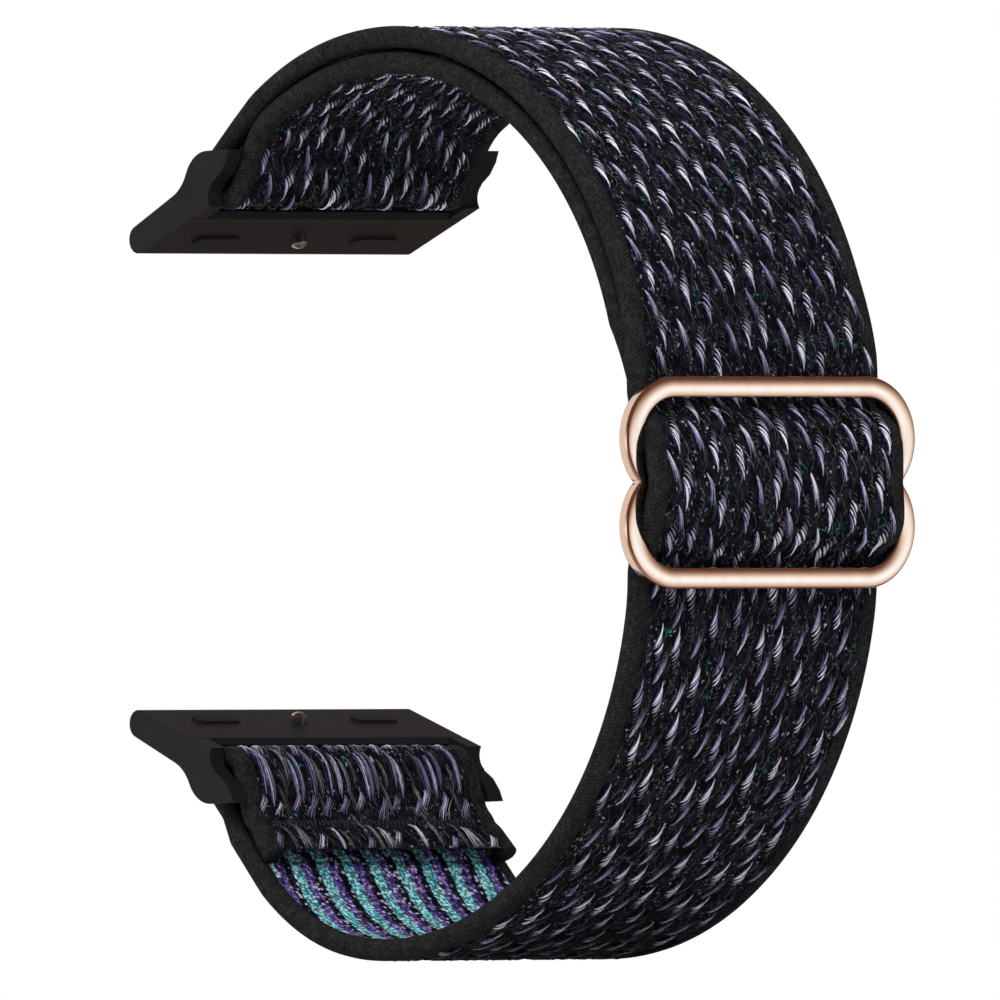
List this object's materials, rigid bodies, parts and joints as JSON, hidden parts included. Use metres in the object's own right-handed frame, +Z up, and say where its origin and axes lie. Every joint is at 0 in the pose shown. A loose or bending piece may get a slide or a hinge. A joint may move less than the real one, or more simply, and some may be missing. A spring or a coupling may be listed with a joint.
{
  "type": "elastic watch strap",
  "caption": "Loop of elastic nylon webbing with a sliding metal length adjuster and a pivoting slide-in metal adapter at each end, worn round the wrist.",
  "frame": {"origin": "middle of the wrist opening, level with the slider's middle bar", "axes": "+X from the watch to the slider on the far side of the loop, +Y along the width of the webbing, +Z up from the lower adapter to the upper one"},
  "size_m": [0.0659, 0.0292, 0.0738],
  "materials": {
    "webbing": "woven elastic nylon, near black with lavender, grey and purple floats outside and teal and purple stripes inside",
    "thread": "black sewing thread",
    "rose_gold": "mirror polished rose gold plating",
    "charcoal_metal": "satin charcoal coating",
    "steel": "bright steel",
    "soft_pad": "matt"
  },
  "bodies": {
    "webbing": {"webbing_lower_fold": "webbing", "webbing_lower_run": "webbing", "webbing_lower_slack": "webbing", "webbing_upper_slack": "webbing", "webbing_outer_run": "webbing", "webbing_upper_fold": "webbing", "webbing_inner_run": "webbing", "webbing_inner_slack": "webbing", "lower_fold_seam": "thread"},
    "slider": {"slider": "rose_gold", "webbing_slider_hump": "webbing", "webbing_slider_fold": "webbing", "slider_fold_seam": "thread"},
    "upper_adapter": {"upper_adapter": "charcoal_metal", "upper_bar_tube": "steel", "upper_bar_spring": "steel", "upper_lock_spring": "steel", "upper_pad_left": "soft_pad", "upper_pad_right": "soft_pad"},
    "upper_bar_tip_left": {"upper_bar_tip_left": "steel"},
    "upper_bar_tip_right": {"upper_bar_tip_right": "steel"},
    "upper_lock_nub": {"upper_lock_nub": "steel"},
    "lower_adapter": {"lower_adapter": "charcoal_metal", "lower_bar_tube": "steel", "lower_bar_spring": "steel", "lower_lock_spring": "steel", "lower_pad_left": "soft_pad", "lower_pad_right": "soft_pad"},
    "lower_bar_tip_left": {"lower_bar_tip_left": "steel"},
    "lower_bar_tip_right": {"lower_bar_tip_right": "steel"},
    "lower_lock_nub": {"lower_lock_nub": "steel"}
  },
  "joints": [
    {"name": "slider_travel", "type": "slide", "parent": "webbing", "child": "slider", "axis": [0, 0, 1], "range_m": [-0.004, 0.004], "deforming": ["webbing_upper_slack", "webbing_inner_slack", "webbing_lower_slack"]},
    {"name": "upper_adapter_hinge", "type": "hinge", "parent": "webbing", "child": "upper_adapter", "pos_m": [-0.0246, 0, 0.0243], "axis": [0, 1, 0], "range_deg": [-40, 40]},
    {"name": "upper_bar_tip_left_push", "type": "slide", "parent": "upper_adapter", "child": "upper_bar_tip_left", "axis": [0, 1, 0], "range_m": [0, 0.001], "stiffness_N_per_m": 1500, "springref_m": -0.0015, "deforming": ["upper_bar_spring"]},
    {"name": "upper_bar_tip_right_push", "type": "slide", "parent": "upper_adapter", "child": "upper_bar_tip_right", "axis": [0, -1, 0], "range_m": [0, 0.001], "stiffness_N_per_m": 1500, "springref_m": -0.0015, "deforming": ["upper_bar_spring"]},
    {"name": "upper_lock_nub_push", "type": "slide", "parent": "upper_adapter", "child": "upper_lock_nub", "axis": [-0.3778, 0, 0.9259], "range_m": [0, 0.00075], "stiffness_N_per_m": 800, "springref_m": -0.0006, "deforming": ["upper_lock_spring"]},
    {"name": "lower_adapter_hinge", "type": "hinge", "parent": "webbing", "child": "lower_adapter", "pos_m": [-0.0242, 0, -0.0235], "axis": [0, 1, 0], "range_deg": [-40, 40]},
    {"name": "lower_bar_tip_left_push", "type": "slide", "parent": "lower_adapter", "child": "lower_bar_tip_left", "axis": [0, 1, 0], "range_m": [0, 0.001], "stiffness_N_per_m": 1500, "springref_m": -0.0015, "deforming": ["lower_bar_spring"]},
    {"name": "lower_bar_tip_right_push", "type": "slide", "parent": "lower_adapter", "child": "lower_bar_tip_right", "axis": [0, -1, 0], "range_m": [0, 0.001], "stiffness_N_per_m": 1500, "springref_m": -0.0015, "deforming": ["lower_bar_spring"]},
    {"name": "lower_lock_nub_push", "type": "slide", "parent": "lower_adapter", "child": "lower_lock_nub", "axis": [-0.3057, 0, -0.9521], "range_m": [0, 0.00075], "stiffness_N_per_m": 800, "springref_m": -0.0006, "deforming": ["lower_lock_spring"]}
  ]
}
